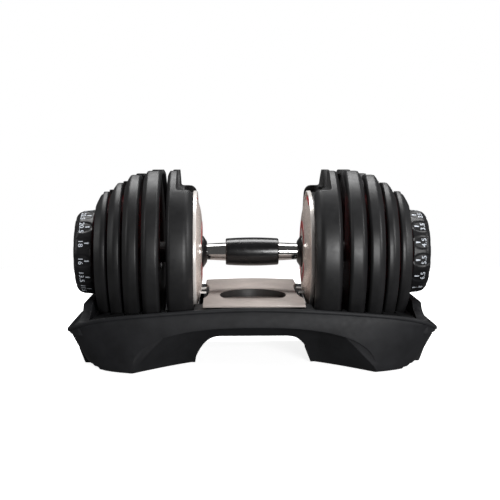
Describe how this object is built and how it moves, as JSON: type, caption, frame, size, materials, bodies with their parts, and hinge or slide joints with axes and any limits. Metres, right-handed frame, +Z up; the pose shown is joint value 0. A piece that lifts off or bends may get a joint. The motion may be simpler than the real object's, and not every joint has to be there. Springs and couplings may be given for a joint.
{
  "type": "adjustable dumbbell with storage tray",
  "caption": "Dial-adjusted dumbbell resting in its moulded storage tray: slotted weight plates, turning end dials, domed inner covers and a barrel grip.",
  "frame": {"origin": "on the floor under the middle of the tray", "axes": "+X along the handle, +Z up, -Y towards the front, the side with the round dish in the bridge panel"},
  "size_m": [0.423, 0.21, 0.2206],
  "materials": {
    "black_plastic": "fine-grained satin black",
    "tray_plastic": "matt charcoal, finely grained",
    "plate_coat": "satin charcoal-black coating",
    "grip_rubber": "semi-gloss black",
    "chrome": "polished chrome",
    "silver": "warm satin-polished silver",
    "steel": "plain steel",
    "red_plastic": "red",
    "warm_grey": "warm grey, slightly metallic",
    "light_plastic": "off-white",
    "foot_rubber": "black"
  },
  "bodies": {
    "tray": {"tray_shell": "tray_plastic", "bridge_panel": "warm_grey", "unlock_fork_right": "light_plastic", "unlock_fork_left": "light_plastic", "tray_foot_1": "foot_rubber", "tray_foot_2": "foot_rubber", "tray_foot_3": "foot_rubber", "tray_foot_4": "foot_rubber", "foot_screw_1": "steel", "foot_screw_2": "steel", "foot_screw_3": "steel", "foot_screw_4": "steel"},
    "handle": {"grip_sleeve": "grip_rubber", "handle_tube": "chrome", "axle_rod": "steel", "collar_right": "black_plastic", "dome_cover_right": "silver", "bezel_ring_right": "chrome", "back_plate_right": "black_plastic", "lock_spring_right": "steel", "rod_nut_right": "steel", "collar_left": "black_plastic", "dome_cover_left": "silver", "bezel_ring_left": "chrome", "back_plate_left": "black_plastic", "lock_spring_left": "steel", "rod_nut_left": "steel"},
    "right_dial": {"weight_dial_right": "black_plastic", "dial_cap_right": "black_plastic", "selector_shaft_right": "black_plastic", "lock_wheel_right": "steel", "selector_disc_5_right": "red_plastic", "selector_disc_4_right": "red_plastic", "selector_disc_3_right": "red_plastic", "selector_disc_2_right": "red_plastic", "selector_disc_1_right": "red_plastic"},
    "right_lock": {"lock_yoke_right": "steel"},
    "right_plate_5": {"weight_plate_5_right": "plate_coat"},
    "right_plate_4": {"weight_plate_4_right": "plate_coat"},
    "right_plate_3": {"weight_plate_3_right": "plate_coat"},
    "right_plate_2": {"weight_plate_2_right": "plate_coat"},
    "right_plate_1": {"weight_plate_1_right": "plate_coat"},
    "left_dial": {"weight_dial_left": "black_plastic", "dial_cap_left": "black_plastic", "selector_shaft_left": "black_plastic", "lock_wheel_left": "steel", "selector_disc_5_left": "red_plastic", "selector_disc_4_left": "red_plastic", "selector_disc_3_left": "red_plastic", "selector_disc_2_left": "red_plastic", "selector_disc_1_left": "red_plastic"},
    "left_lock": {"lock_yoke_left": "steel"},
    "left_plate_5": {"weight_plate_5_left": "plate_coat"},
    "left_plate_4": {"weight_plate_4_left": "plate_coat"},
    "left_plate_3": {"weight_plate_3_left": "plate_coat"},
    "left_plate_2": {"weight_plate_2_left": "plate_coat"},
    "left_plate_1": {"weight_plate_1_left": "plate_coat"}
  },
  "joints": [
    {"name": "dumbbell_lift", "type": "slide", "parent": "tray", "child": "handle", "axis": [0, 0, 1], "range_m": [0, 0.15]},
    {"name": "right_dial_turn", "type": "hinge", "parent": "handle", "child": "right_dial", "pos_m": [0.1931, 0, 0.125], "axis": [1, 0, 0], "continuous": true},
    {"name": "left_dial_turn", "type": "hinge", "parent": "handle", "child": "left_dial", "pos_m": [-0.1931, 0, 0.125], "axis": [-1, 0, 0], "continuous": true},
    {"name": "right_lock_drop", "type": "slide", "parent": "handle", "child": "right_lock", "axis": [0, 0, -1], "range_m": [0, 0.005]},
    {"name": "right_plate_5_lift", "type": "slide", "parent": "tray", "child": "right_plate_5", "axis": [0, 0, 1], "range_m": [0, 0.15]},
    {"name": "right_plate_4_lift", "type": "slide", "parent": "tray", "child": "right_plate_4", "axis": [0, 0, 1], "range_m": [0, 0.15]},
    {"name": "right_plate_3_lift", "type": "slide", "parent": "tray", "child": "right_plate_3", "axis": [0, 0, 1], "range_m": [0, 0.15]},
    {"name": "right_plate_2_lift", "type": "slide", "parent": "tray", "child": "right_plate_2", "axis": [0, 0, 1], "range_m": [0, 0.15]},
    {"name": "right_plate_1_lift", "type": "slide", "parent": "tray", "child": "right_plate_1", "axis": [0, 0, 1], "range_m": [0, 0.15]},
    {"name": "left_lock_drop", "type": "slide", "parent": "handle", "child": "left_lock", "axis": [0, 0, -1], "range_m": [0, 0.005]},
    {"name": "left_plate_5_lift", "type": "slide", "parent": "tray", "child": "left_plate_5", "axis": [0, 0, 1], "range_m": [0, 0.15]},
    {"name": "left_plate_4_lift", "type": "slide", "parent": "tray", "child": "left_plate_4", "axis": [0, 0, 1], "range_m": [0, 0.15]},
    {"name": "left_plate_3_lift", "type": "slide", "parent": "tray", "child": "left_plate_3", "axis": [0, 0, 1], "range_m": [0, 0.15]},
    {"name": "left_plate_2_lift", "type": "slide", "parent": "tray", "child": "left_plate_2", "axis": [0, 0, 1], "range_m": [0, 0.15]},
    {"name": "left_plate_1_lift", "type": "slide", "parent": "tray", "child": "left_plate_1", "axis": [0, 0, 1], "range_m": [0, 0.15]}
  ],
  "couplings": [
    {"joint": "right_lock_drop", "follows": "dumbbell_lift", "ratio": 0.0333},
    {"joint": "right_plate_5_lift", "follows": "dumbbell_lift", "ratio": 1},
    {"joint": "right_plate_4_lift", "follows": "dumbbell_lift", "ratio": 1},
    {"joint": "right_plate_3_lift", "follows": "dumbbell_lift", "ratio": 1},
    {"joint": "right_plate_2_lift", "follows": "dumbbell_lift", "ratio": 1},
    {"joint": "right_plate_1_lift", "follows": "dumbbell_lift", "ratio": 1},
    {"joint": "left_lock_drop", "follows": "dumbbell_lift", "ratio": 0.0333},
    {"joint": "left_plate_5_lift", "follows": "dumbbell_lift", "ratio": 1},
    {"joint": "left_plate_4_lift", "follows": "dumbbell_lift", "ratio": 1},
    {"joint": "left_plate_3_lift", "follows": "dumbbell_lift", "ratio": 1},
    {"joint": "left_plate_2_lift", "follows": "dumbbell_lift", "ratio": 1},
    {"joint": "left_plate_1_lift", "follows": "dumbbell_lift", "ratio": 1}
  ]
}
